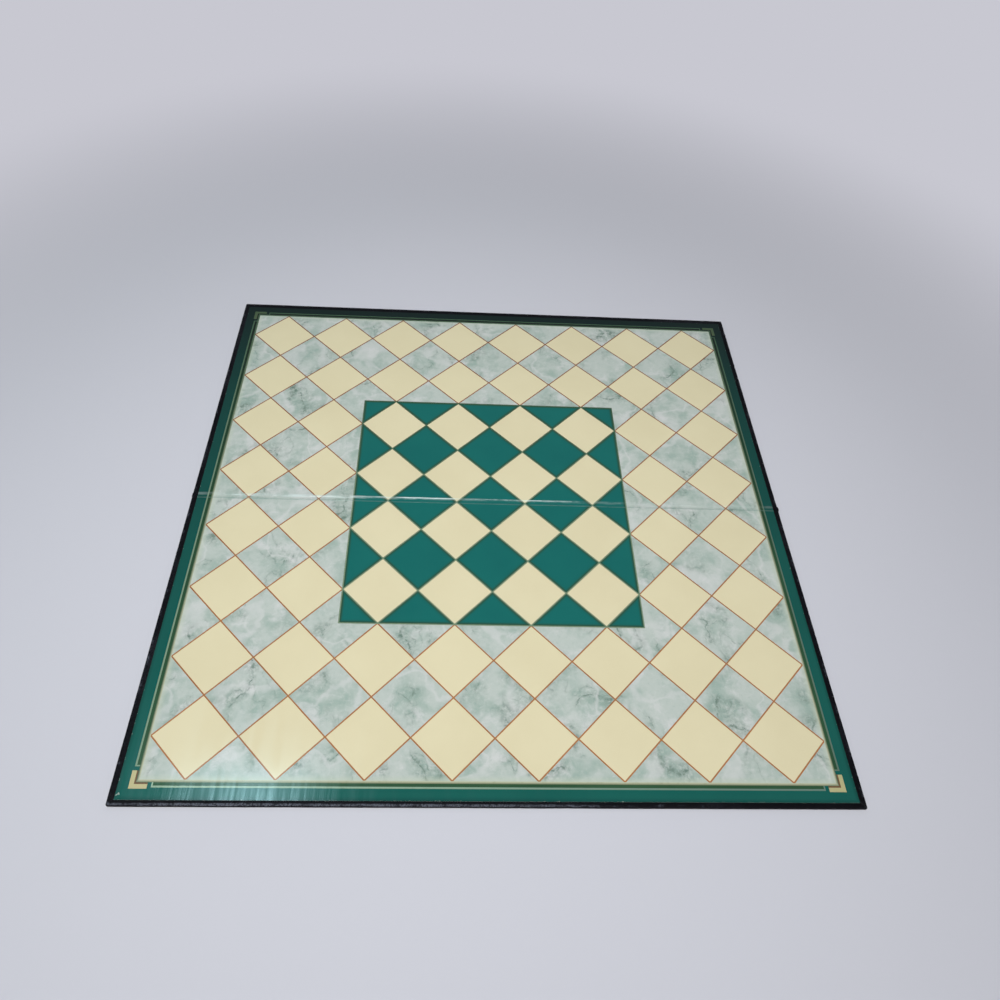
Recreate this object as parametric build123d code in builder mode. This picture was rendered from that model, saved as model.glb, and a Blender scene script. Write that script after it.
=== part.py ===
"""A folding checkers board: two stiff boards, one cover paper and one printed sheet.

The board lies open on its underside. X runs along the fold, Y from the player's side
to the far side and Z up, with the origin under the middle of the fold. The front board
stays put and the rear board folds up and over it, printed faces together.

The cover paper and the printed sheet are each one piece on the real board. Both cross
the fold, so each is split here along the fold line into a front and a rear node. The
print areas are the colours of the sheet, split so that each has its own finish.
"""

import os
from math import sqrt

from build123d import *

os.makedirs("parts", exist_ok=True)

# Playing field: cream squares that stand on their corners
square_side = 38.1
squares_per_side = 8
centre_squares_per_side = 4
square_line = 0.95
centre_line = 1.1

# Boards and papers
board_side = 463.5
board_corner_radius = 1.2
edge_radius = 0.8
core_thickness = 2.5
cover_thickness = 0.2
turn_in = 15.0
sheet_side = 455.0
paper_thickness = 0.1
ink_thickness = 0.1

# Fold: the two papers cross it glued back to back, between the two boards
fold_gap = 4.0
fold_slit = 0.1

# The print lies slightly towards the player's side, seen against the fold
print_shift = -0.8

# Printed border, each distance counted from the edge of the playing field
pale_line = 1.6
channel_outer = 3.6
thin_line_outer = 4.7
run_end = 7.8
cap_width = 0.9
corner_outer = 5.4
corner_width = 2.7
corner_reach = 5.4
corner_shadow = 1.0

half_diagonal = square_side / sqrt(2)
square_pitch = 2 * half_diagonal
field_side = squares_per_side * square_pitch
centre_side = centre_squares_per_side * square_pitch

cover_top = core_thickness + cover_thickness
turn_in_bottom = cover_top - cover_thickness
paper_top = cover_top + paper_thickness
sheet_top = paper_top + ink_thickness
panel_inner = fold_gap / 2
slit_side = fold_slit / 2


def square_centres(count):
    """Centres of count by count squares about the middle of the print."""
    first = -(count - 1) * half_diagonal
    places = [first + index * square_pitch for index in range(count)]
    return [(x, y + print_shift) for x in places for y in places]


def finish(sub_part, name):
    """Label a finished sub-part and write its file."""
    sub_part.part.label = name
    export_step(sub_part.part, f"parts/{name}.step")


all_squares = square_centres(squares_per_side)
centre_squares = square_centres(centre_squares_per_side)
print_centre = (0, print_shift)

# Lines round the squares of the green centre, and round the centre itself
with BuildSketch() as centre_frame:
    with Locations(print_centre):
        Rectangle(centre_side + centre_line, centre_side + centre_line)
        Rectangle(centre_side - centre_line, centre_side - centre_line, mode=Mode.SUBTRACT)

with BuildSketch() as centre_outlines:
    with Locations(*centre_squares):
        Rectangle(square_side + centre_line, square_side + centre_line, rotation=45)
        Rectangle(square_side - centre_line, square_side - centre_line, rotation=45, mode=Mode.SUBTRACT)
    with Locations(print_centre):
        Rectangle(centre_side, centre_side, mode=Mode.INTERSECT)
    add(centre_frame.sketch)

# Lines round the squares outside the centre
with BuildSketch() as square_outlines:
    with Locations(*all_squares):
        Rectangle(square_side + square_line, square_side + square_line, rotation=45)
        Rectangle(square_side - square_line, square_side - square_line, rotation=45, mode=Mode.SUBTRACT)
    with Locations(print_centre):
        Rectangle(field_side, field_side, mode=Mode.INTERSECT)
        Rectangle(centre_side + centre_line, centre_side + centre_line, mode=Mode.SUBTRACT)

with BuildSketch() as cream_squares:
    with Locations(*all_squares):
        Rectangle(square_side - square_line, square_side - square_line, rotation=45)
    add(centre_outlines.sketch, mode=Mode.SUBTRACT)

with BuildSketch() as marble_ground:
    with Locations(print_centre):
        Rectangle(field_side, field_side)
        Rectangle(centre_side + centre_line, centre_side + centre_line, mode=Mode.SUBTRACT)
    add(square_outlines.sketch, mode=Mode.SUBTRACT)
    add(cream_squares.sketch, mode=Mode.SUBTRACT)

with BuildSketch() as green_centre:
    with Locations(print_centre):
        Rectangle(centre_side - centre_line, centre_side - centre_line)
    add(centre_outlines.sketch, mode=Mode.SUBTRACT)
    add(cream_squares.sketch, mode=Mode.SUBTRACT)

# Border runs: two pale lines with a dark channel between them, stopped short of the corners
run_length = field_side - 2 * run_end
channel_length = run_length - 2 * cap_width
inner_frame_side = field_side + 2 * pale_line
channel_frame_side = field_side + 2 * channel_outer
thin_frame_side = field_side + 2 * thin_line_outer

with BuildSketch() as dark_channel:
    with Locations(print_centre):
        Rectangle(channel_frame_side, channel_length)
        Rectangle(channel_length, channel_frame_side)
        Rectangle(inner_frame_side, inner_frame_side, mode=Mode.SUBTRACT)

with BuildSketch() as pale_lines:
    with Locations(print_centre):
        Rectangle(thin_frame_side, run_length)
        Rectangle(run_length, thin_frame_side)
        Rectangle(inner_frame_side, inner_frame_side)
        Rectangle(field_side, field_side, mode=Mode.SUBTRACT)
    add(dark_channel.sketch, mode=Mode.SUBTRACT)

# Gold corners, each with a dark line along its inner side
corner_side = field_side + 2 * corner_outer
corner_inner_side = corner_side - 2 * corner_width
shadow_inner_side = corner_inner_side - 2 * corner_shadow
corner_gap = field_side - 2 * corner_reach

with BuildSketch() as gold_corners:
    with Locations(print_centre):
        Rectangle(corner_side, corner_side)
        Rectangle(corner_inner_side, corner_inner_side, mode=Mode.SUBTRACT)
        Rectangle(corner_side, corner_gap, mode=Mode.SUBTRACT)
        Rectangle(corner_gap, corner_side, mode=Mode.SUBTRACT)

with BuildSketch() as corner_lines:
    with Locations(print_centre):
        Rectangle(corner_inner_side, corner_inner_side)
        Rectangle(shadow_inner_side, shadow_inner_side, mode=Mode.SUBTRACT)
        Rectangle(corner_inner_side, corner_gap, mode=Mode.SUBTRACT)
        Rectangle(corner_gap, corner_inner_side, mode=Mode.SUBTRACT)

with BuildSketch() as green_border:
    with Locations(print_centre):
        Rectangle(sheet_side, sheet_side)
        Rectangle(inner_frame_side, inner_frame_side, mode=Mode.SUBTRACT)
    for border_area in (pale_lines, dark_channel, gold_corners, corner_lines):
        add(border_area.sketch, mode=Mode.SUBTRACT)

with BuildSketch() as dark_lines:
    add(dark_channel.sketch)
    add(corner_lines.sketch)

# Across the fold the sheet is marble, with green in the centre and at the borders
with BuildSketch() as fold_marble:
    Rectangle(inner_frame_side, fold_gap)
    Rectangle(centre_side, fold_gap, mode=Mode.SUBTRACT)

with BuildSketch() as fold_green:
    Rectangle(sheet_side, fold_gap)
    add(fold_marble.sketch, mode=Mode.SUBTRACT)

print_areas = {
    "cream_squares": cream_squares,
    "marble_ground": marble_ground,
    "green_centre": green_centre,
    "square_outlines": square_outlines,
    "centre_outlines": centre_outlines,
    "green_border": green_border,
    "pale_border_lines": pale_lines,
    "dark_border_lines": dark_lines,
    "gold_corners": gold_corners,
}

fold_areas = {
    "fold_marble": fold_marble,
    "fold_green": fold_green,
}

panel_depth = board_side / 2 - panel_inner
core_width = board_side - 2 * cover_thickness
core_depth = panel_depth - 2 * cover_thickness
core_step_width = board_side - 2 * turn_in
core_step_depth = panel_depth - turn_in - cover_thickness
strip_depth = panel_inner - slit_side

for half, sign in (("front", -1), ("rear", 1)):
    panel_middle = sign * (panel_inner + panel_depth / 2)
    core_step_middle = sign * (panel_inner + cover_thickness + core_step_depth / 2)
    strip_middle = sign * (slit_side + strip_depth / 2)
    outer_side = 0 if sign < 0 else -1

    # Stiff grey board, pressed down along its outer edges where the cover turns in over it
    with BuildPart() as core_board:
        with BuildSketch(Plane.XY.offset(cover_thickness)) as core_plan:
            with Locations((0, panel_middle)):
                Rectangle(core_width, core_depth)
            fillet(core_plan.vertices().group_by(Axis.Y)[outer_side], board_corner_radius - cover_thickness)
        extrude(amount=turn_in_bottom - cover_thickness)
        fillet(core_board.edges().group_by(Axis.Z)[0], edge_radius - cover_thickness)
        rim = core_board.edges().group_by(Axis.Z)[-1]
        gutter_rim = rim.sort_by(Axis.Y)[-1 if sign < 0 else 0]
        fillet([edge for edge in rim if edge != gutter_rim], edge_radius - cover_thickness)
        with BuildSketch(Plane.XY.offset(turn_in_bottom)):
            with Locations((0, core_step_middle)):
                Rectangle(core_step_width, core_step_depth)
        extrude(amount=cover_thickness)
    finish(core_board, f"{half}_core_board")

    # Cover paper: the underside, the outer edges with their turn-ins, and the wall of the fold
    with BuildPart() as cover_paper:
        with BuildSketch() as cover_plan:
            with Locations((0, panel_middle)):
                Rectangle(board_side, panel_depth)
            fillet(cover_plan.vertices().group_by(Axis.Y)[outer_side], board_corner_radius)
        extrude(amount=cover_top)
        fillet(cover_paper.edges().group_by(Axis.Z)[0], edge_radius)
        rim = cover_paper.edges().group_by(Axis.Z)[-1]
        gutter_rim = rim.sort_by(Axis.Y)[-1 if sign < 0 else 0]
        fillet([edge for edge in rim if edge != gutter_rim], edge_radius)
        add(core_board.part, mode=Mode.SUBTRACT)
    finish(cover_paper, f"{half}_cover_paper")

    # Cover paper across the fold, pressed up against the back of the sheet
    with BuildPart() as cover_fold:
        with BuildSketch(Plane.XY.offset(turn_in_bottom)):
            with Locations((0, strip_middle)):
                Rectangle(board_side, strip_depth)
        extrude(amount=cover_thickness)
    finish(cover_fold, f"{half}_cover_fold")

    # Paper of the printed sheet
    sheet_outer = sheet_side / 2 + sign * print_shift
    sheet_depth = sheet_outer - panel_inner
    sheet_middle = sign * (panel_inner + sheet_depth / 2)
    with BuildPart() as sheet_paper:
        with BuildSketch(Plane.XY.offset(cover_top)):
            with Locations((0, sheet_middle)):
                Rectangle(sheet_side, sheet_depth)
        extrude(amount=paper_thickness)
    finish(sheet_paper, f"{half}_sheet_paper")

    for name, area in print_areas.items():
        with BuildPart() as print_area:
            with BuildSketch(Plane.XY.offset(paper_top)):
                add(area.sketch)
                with Locations((0, sheet_middle)):
                    Rectangle(sheet_side, sheet_depth, mode=Mode.INTERSECT)
            extrude(amount=ink_thickness)
        finish(print_area, f"{half}_{name}")

    for name, area in fold_areas.items():
        with BuildPart() as fold_area:
            with BuildSketch(Plane.XY.offset(cover_top)):
                add(area.sketch)
                with Locations((0, strip_middle)):
                    Rectangle(sheet_side, strip_depth, mode=Mode.INTERSECT)
            extrude(amount=sheet_top - cover_top)
        finish(fold_area, f"{half}_{name}")
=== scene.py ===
"""Looks of the folding checkers board: varnished print, black embossed cover and the paper fold.

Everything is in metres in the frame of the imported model: X along the fold, Y to the far
side, Z up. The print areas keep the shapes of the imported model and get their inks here.
The cover and the papers across the fold are surfaces worked out below.
"""

import logging
import math
from dataclasses import dataclass
from enum import Enum
from typing import Optional, Sequence, Union

import bpy
import numpy as np
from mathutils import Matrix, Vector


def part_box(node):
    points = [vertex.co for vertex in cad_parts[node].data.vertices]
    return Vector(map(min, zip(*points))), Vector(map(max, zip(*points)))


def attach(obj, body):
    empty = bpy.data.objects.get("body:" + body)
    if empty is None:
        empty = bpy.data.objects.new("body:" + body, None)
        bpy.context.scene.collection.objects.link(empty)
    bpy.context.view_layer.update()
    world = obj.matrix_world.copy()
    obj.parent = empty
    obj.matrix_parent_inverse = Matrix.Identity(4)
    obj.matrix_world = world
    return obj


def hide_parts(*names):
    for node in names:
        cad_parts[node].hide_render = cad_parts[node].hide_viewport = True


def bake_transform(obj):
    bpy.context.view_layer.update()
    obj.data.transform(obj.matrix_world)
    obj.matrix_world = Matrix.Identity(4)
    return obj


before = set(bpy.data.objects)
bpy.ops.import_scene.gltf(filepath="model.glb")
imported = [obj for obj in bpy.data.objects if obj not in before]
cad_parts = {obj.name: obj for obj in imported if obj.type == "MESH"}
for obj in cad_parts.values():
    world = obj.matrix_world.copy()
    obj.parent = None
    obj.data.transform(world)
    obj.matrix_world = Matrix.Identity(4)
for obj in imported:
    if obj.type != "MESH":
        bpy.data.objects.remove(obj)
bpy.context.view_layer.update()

LOG = logging.getLogger("checkers_board")
MM = 0.001
SQUARES_PER_SIDE = 8
CENTRE_SQUARES_PER_SIDE = 4

Colour = tuple[float, float, float]
Numbers = Sequence[float]
Socket = bpy.types.NodeSocket
Signal = Union[Socket, float]
Paint = Union[Signal, Colour]
Value = Union[Signal, Numbers]
Stops = tuple[tuple[float, float], ...]


def screen_colour(red: int, green: int, blue: int) -> Colour:
    """A linear colour from screen values.

    Args:
        red: Screen value from 0 to 255.
        green: Screen value from 0 to 255.
        blue: Screen value from 0 to 255.

    Returns:
        The linear red, green and blue, each from 0 to 1.
    """
    shares = np.array([red, green, blue]) / 255
    linear = np.where(shares <= 0.04045, shares / 12.92, ((shares + 0.055) / 1.055) ** 2.4)
    return tuple(float(value) for value in linear)


class Half(Enum):
    """The two halves of the board, each with its side of the fold and its body."""

    FRONT = ("front", -1, "front_half")
    REAR = ("rear", 1, "rear_half")

    def __init__(self, prefix: str, side: int, body: str) -> None:
        """Keep what tells the halves apart.

        Args:
            prefix: First word of the names of the half's nodes.
            side: -1 before the fold and 1 behind it.
            body: Name of the body that the half moves with.
        """
        self.prefix = prefix
        self.side = side
        self.body = body

    def node(self, name: str) -> bpy.types.Object:
        """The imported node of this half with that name."""
        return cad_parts[f"{self.prefix}_{name}"]


class Place(Enum):
    """Where a print finish reads its place on the sheet from."""

    OBJECT = "object"
    SHEET_MAP = "sheet"


@dataclass(frozen=True)
class Layout:
    """Sizes and places of the board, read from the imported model.

    Attributes:
        print_y: Place in Y of the middle of the print.
        field_half: Half the side of the playing field.
        sheet_half: Half the side of the printed sheet.
        board_half: Half the side of the open board.
        gap_half: Half the width of the gap between the two boards.
        turn_in_bottom: Height of the underside of the cover where it lies on the board.
        cover_top: Height of the cover's upper side.
        sheet_top: Height of the printed face.
        line_half: Half the width of a line round a square.
        centre_line_half: Half the width of a line in the green centre.
        pale_outer: Outer edge of the inner pale line, from the field's edge.
        dark_outer: Outer edge of the dark line, from the field's edge.
        thin_outer: Outer edge of the thin pale line, from the field's edge.
    """

    print_y: float
    field_half: float
    sheet_half: float
    board_half: float
    gap_half: float
    turn_in_bottom: float
    cover_top: float
    sheet_top: float
    line_half: float
    centre_line_half: float
    pale_outer: float
    dark_outer: float
    thin_outer: float

    @classmethod
    def from_frame(cls) -> "Layout":
        """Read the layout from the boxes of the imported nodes.

        Returns:
            The layout of this board.
        """
        border_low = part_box("front_green_border")[0]
        border_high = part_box("rear_green_border")[1]
        field_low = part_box("front_marble_ground")[0]
        cover_low, cover_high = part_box("front_cover_paper")
        strip_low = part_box("front_cover_fold")[0]
        field_half = -field_low.x
        cream_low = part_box("front_cream_squares")[0]
        centre_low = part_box("front_centre_outlines")[0]
        centre_half = field_half * CENTRE_SQUARES_PER_SIDE / SQUARES_PER_SIDE
        return cls(
            print_y=(border_low.y + border_high.y) / 2,
            field_half=field_half,
            sheet_half=-border_low.x,
            board_half=-cover_low.x,
            gap_half=-cover_high.y,
            turn_in_bottom=strip_low.z,
            cover_top=cover_high.z,
            sheet_top=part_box("front_cream_squares")[1].z,
            line_half=(field_half + cream_low.x) / math.sqrt(2),
            centre_line_half=-centre_low.x - centre_half,
            pale_outer=-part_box("front_fold_marble")[0].x - field_half,
            dark_outer=-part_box("front_dark_border_lines")[0].x - field_half,
            thin_outer=-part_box("front_pale_border_lines")[0].x - field_half,
        )

    @property
    def half_diagonal(self) -> float:
        """Half the diagonal of one square."""
        return self.field_half / SQUARES_PER_SIDE

    @property
    def centre_half(self) -> float:
        """Half the side of the green centre."""
        return self.half_diagonal * CENTRE_SQUARES_PER_SIDE


class NodeGraph:
    """A node tree, with short calls for the nodes that the finishes use."""

    def __init__(self, tree: bpy.types.NodeTree) -> None:
        """Keep the tree to build in."""
        self.tree = tree

    def feed(self, socket: Socket, value: Value) -> None:
        """Link a signal to a socket, or set the socket to a fixed value.

        Args:
            socket: The socket.
            value: A signal, a number, or a row of numbers such as a colour.
        """
        if isinstance(value, Socket):
            self.tree.links.new(value, socket)
        elif isinstance(value, (int, float)):
            socket.default_value = value
        else:
            wanted = len(socket.default_value)
            socket.default_value = (*value, 1.0)[:wanted]

    def node(self, kind: str, **inputs: Value) -> bpy.types.Node:
        """Add one node.

        Args:
            kind: Name of the kind of node.
            inputs: What its inputs are fed with, each named as on the node, with _ for a space.

        Returns:
            The node.
        """
        made = self.tree.nodes.new(kind)
        for name, value in inputs.items():
            self.feed(made.inputs[name.replace("_", " ")], value)
        return made

    def solid_place(self) -> Socket:
        """The object's own place in metres, height and all."""
        return self.node("ShaderNodeTexCoord").outputs["Object"]

    def attribute(self, name: str) -> Socket:
        """A number kept on the mesh.

        Args:
            name: Name under which it is kept.

        Returns:
            The number.
        """
        node = self.node("ShaderNodeAttribute")
        node.attribute_name = name
        return node.outputs["Fac"]

    def mapped(
        self, vector: Socket, scale: Numbers = (1, 1, 1), turn: float = 0.0, shift: Numbers = (0, 0, 0)
    ) -> Socket:
        """A vector scaled, then turned about Z, then shifted.

        Args:
            vector: The vector to map.
            scale: Scale along each axis.
            turn: Turn about Z, in degrees.
            shift: Shift that is added last.

        Returns:
            The mapped vector.
        """
        rotation = (0, 0, math.radians(turn))
        node = self.node("ShaderNodeMapping", Vector=vector, Scale=scale, Rotation=rotation, Location=shift)
        return node.outputs["Vector"]

    def parts(self, vector: Socket) -> tuple[Socket, ...]:
        """The X, Y and Z of a vector."""
        return tuple(self.node("ShaderNodeSeparateXYZ", Vector=vector).outputs)

    def maths(self, operation: str, *values: Signal) -> Socket:
        """One step of arithmetic.

        Args:
            operation: Name of the operation, such as "MULTIPLY".
            values: The numbers that it works on, one to three.

        Returns:
            The result.
        """
        node = self.node("ShaderNodeMath")
        node.operation = operation
        for socket, value in zip(node.inputs, values):
            self.feed(socket, value)
        return node.outputs["Value"]

    def plus(self, first: Signal, second: Signal) -> Socket:
        """The sum of two numbers."""
        return self.maths("ADD", first, second)

    def minus(self, first: Signal, second: Signal) -> Socket:
        """The first number less the second."""
        return self.maths("SUBTRACT", first, second)

    def times(self, first: Signal, second: Signal) -> Socket:
        """The product of two numbers."""
        return self.maths("MULTIPLY", first, second)

    def scaled(self, value: Signal, factor: Signal, offset: Signal) -> Socket:
        """A number times a factor, plus an offset."""
        return self.maths("MULTIPLY_ADD", value, factor, offset)

    def most(self, first: Signal, second: Signal) -> Socket:
        """The larger of two numbers."""
        return self.maths("MAXIMUM", first, second)

    def least(self, first: Signal, second: Signal) -> Socket:
        """The smaller of two numbers."""
        return self.maths("MINIMUM", first, second)

    def size(self, value: Signal) -> Socket:
        """A number without its sign."""
        return self.maths("ABSOLUTE", value)

    def rest(self, value: Signal) -> Socket:
        """What a number lacks to 1."""
        return self.minus(1.0, value)

    def rise(self, value: Signal, low: float, high: float) -> Socket:
        """A smooth step from 0 to 1.

        Args:
            value: The number that steps.
            low: Where the step begins, above or below its end.
            high: Where the step ends.

        Returns:
            The step.
        """
        node = self.node("ShaderNodeMapRange", Value=value, From_Min=low, From_Max=high)
        node.interpolation_type = "SMOOTHSTEP"
        return node.outputs["Result"]

    def band(self, value: Signal, middle: float, half_width: float, soft: float) -> Socket:
        """A band that is 1 round its middle and falls smoothly to 0 on both sides.

        Args:
            value: The number across the band.
            middle: The band's middle.
            half_width: Half the width of its full part.
            soft: Width of the fall beyond that.

        Returns:
            The band.
        """
        away = self.size(self.minus(value, middle))
        return self.rest(self.rise(away, half_width, half_width + soft))

    def stepped(self, value: Signal, stops: Stops) -> Socket:
        """A smooth line through a row of stops.

        Args:
            value: The number along the row.
            stops: Each stop as a value and its result from 0 to 1.

        Returns:
            The result.
        """
        low, high = stops[0][0], stops[-1][0]
        node = self.node("ShaderNodeValToRGB", Fac=self.maths("DIVIDE", self.minus(value, low), high - low))
        ramp = node.color_ramp
        ramp.interpolation = "EASE"
        ramp.elements.remove(ramp.elements[1])
        for number, (at, result) in enumerate(stops):
            share = (at - low) / (high - low)
            element = ramp.elements[0] if number == 0 else ramp.elements.new(share)
            element.position = share
            element.color = (result, result, result, 1)
        return self.node("ShaderNodeSeparateColor", Color=node.outputs["Color"]).outputs["Red"]

    def stroke(
        self, place: Socket, middle: Numbers, turn: float, half_length: float, half_width: float
    ) -> Socket:
        """A short straight mark on the sheet, 1 on the mark and 0 away from it.

        Args:
            place: Place on the sheet.
            middle: X and Y of the mark's middle.
            turn: Its turn from the X axis, in degrees.
            half_length: Half its length.
            half_width: Half its width.

        Returns:
            The mark.
        """
        centred = self.mapped(place, shift=(-middle[0], -middle[1], 0))
        along, across, _ = self.parts(self.mapped(centred, turn=-turn))
        length = self.band(along, 0.0, half_length * 0.6, half_length * 0.4)
        return self.times(length, self.band(across, 0.0, half_width * 0.5, half_width))

    def noise(self, vector: Socket, size: float = 1.0, detail: float = 3.0, roughness: float = 0.5) -> Socket:
        """Cloudy noise from 0 to 1.

        Args:
            vector: Place at which the noise is read.
            size: Size of a cloud, in the units of the vector.
            detail: Octaves of finer noise.
            roughness: Strength of the finer octaves.

        Returns:
            The noise.
        """
        inputs = dict(Vector=vector, Scale=1 / size, Detail=detail, Roughness=roughness)
        return self.node("ShaderNodeTexNoise", **inputs).outputs["Fac"]

    def bent(self, vector: Socket, size: float, reach: float) -> Socket:
        """A vector pushed about by cloudy noise, so that what is read at it comes out bent.

        Args:
            vector: The vector to bend.
            size: Size of the bends.
            reach: How far the vector is pushed.

        Returns:
            The bent vector.
        """
        noise = self.node("ShaderNodeTexNoise", Vector=vector, Scale=1 / size, Detail=2.0)
        push = self.node("ShaderNodeVectorMath")
        push.operation = "MULTIPLY_ADD"
        for socket, value in zip(push.inputs, (noise.outputs["Color"], (2 * reach, 2 * reach, 0), vector)):
            self.feed(socket, value)
        return push.outputs["Vector"]

    def cells(self, vector: Socket, size: float, smoothness: float) -> Socket:
        """Distance to the nearest of many scattered points, as in a pebbled surface.

        Args:
            vector: Place at which the distance is read.
            size: Usual distance between the points.
            smoothness: How softly neighbouring cells run together.

        Returns:
            The distance, as a share of size.
        """
        node = self.node("ShaderNodeTexVoronoi", Vector=vector, Scale=1 / size)
        node.feature = "SMOOTH_F1"
        self.feed(node.inputs["Smoothness"], smoothness)
        return node.outputs["Distance"]

    def mix(self, share: Signal, base: Paint, other: Paint) -> Socket:
        """Two colours mixed.

        Args:
            share: How much of the other colour there is, from 0 to 1.
            base: Colour where share is 0.
            other: Colour where share is 1.

        Returns:
            The mixed colour.
        """
        node = self.node("ShaderNodeMix", Factor=share)
        node.data_type = "RGBA"
        colours = [socket for socket in node.inputs if socket.type == "RGBA"]
        self.feed(colours[0], base)
        self.feed(colours[1], other)
        return [output for output in node.outputs if output.type == "RGBA"][0]

    def blend(self, share: Signal, base: Socket, other: Socket, target: Socket) -> None:
        """Feed a target with two shaders blended.

        Args:
            share: How much of the other shader there is, from 0 to 1.
            base: Shader where share is 0.
            other: Shader where share is 1.
            target: Socket that takes the blend.
        """
        node = self.node("ShaderNodeMixShader", Fac=share)
        self.feed(node.inputs[1], base)
        self.feed(node.inputs[2], other)
        self.feed(target, node.outputs["Shader"])

    def seen(self, mirrored: Signal = 1.0) -> Socket:
        """1 for what the camera sees straight or through glass, and 0 for light on its way.

        Args:
            mirrored: The result for what the camera sees in a mirror.

        Returns:
            The result.
        """
        path = self.node("ShaderNodeLightPath")
        in_mirror = self.times(mirrored, path.outputs["Is Glossy Ray"])
        straight = self.most(in_mirror, path.outputs["Is Camera Ray"])
        return self.most(straight, path.outputs["Is Transmission Ray"])


class MaterialGraph(NodeGraph):
    """A material's node tree, with one shader."""

    def __init__(self, name: str) -> None:
        """Start a material with one shader.

        Args:
            name: Name of the material.
        """
        self.material = bpy.data.materials.new(name)
        self.material.use_nodes = True
        super().__init__(self.material.node_tree)
        self.tree.nodes.clear()
        self.output = self.node("ShaderNodeOutputMaterial")
        self.shader = self.node("ShaderNodeBsdfPrincipled")
        self.feed(self.output.inputs["Surface"], self.shader.outputs["BSDF"])

    def paint(self, colour: Paint, roughness: Signal, shine: float = 0.5) -> None:
        """Give the shader its colour, its roughness and the strength of its reflection."""
        for name, value in (("Base Color", colour), ("Roughness", roughness), ("Specular IOR Level", shine)):
            self.feed(self.shader.inputs[name], value)

    def bump(self, height: Signal, distance: float) -> None:
        """Give the shader a relief of that height signal, with distance in metres for a height of 1."""
        node = self.node("ShaderNodeBump", Height=height, Distance=distance, Strength=1.0)
        self.feed(self.shader.inputs["Normal"], node.outputs["Normal"])


class PrintGraph(MaterialGraph):
    """The node tree of a printed finish, which knows its place on the sheet."""

    def __init__(self, name: str, source: Place, layout: Layout) -> None:
        """Start the material and find the place on the sheet.

        Args:
            name: Name of the material.
            source: Whether the place is the object's own or is kept in the sheet map.
            layout: The board's layout.
        """
        super().__init__(name)
        self.layout = layout
        if source is Place.OBJECT:
            found = self.solid_place()
        else:
            reader = self.node("ShaderNodeUVMap")
            reader.uv_map = source.value
            found = reader.outputs["UV"]
        self.place = self.mapped(found, scale=(1, 1, 0))
        self.x, self.y, _ = self.parts(self.place)

    def from_print_line(self) -> Socket:
        """Distance from the line across the print's middle that runs along the fold."""
        return self.size(self.minus(self.y, self.layout.print_y))

    def from_middle(self) -> Socket:
        """Distance from the middle of the print, counted square, so that it is even along a border."""
        return self.most(self.size(self.x), self.from_print_line())

    def from_outline(self) -> Socket:
        """Distance from the nearest outline of a square, above 0 inside the square and below 0 outside.

        A triangle wave of one square's half diagonal along each axis sums to over one half
        diagonal inside a square, and to just that on its outline.

        Returns:
            The distance.
        """
        unit = self.layout.half_diagonal
        along_x = self.maths("PINGPONG", self.size(self.x), unit)
        along_y = self.maths("PINGPONG", self.from_print_line(), unit)
        return self.times(self.minus(self.plus(along_x, along_y), unit), 1 / math.sqrt(2))

    def towards_far(self) -> Socket:
        """0 at the near edge of the sheet, rising ever faster to 1 at its far edge."""
        share = self.scaled(self.y, 0.5 / self.layout.sheet_half, 0.5)
        return self.maths("POWER", self.most(share, 0.0), 1.5)


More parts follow.
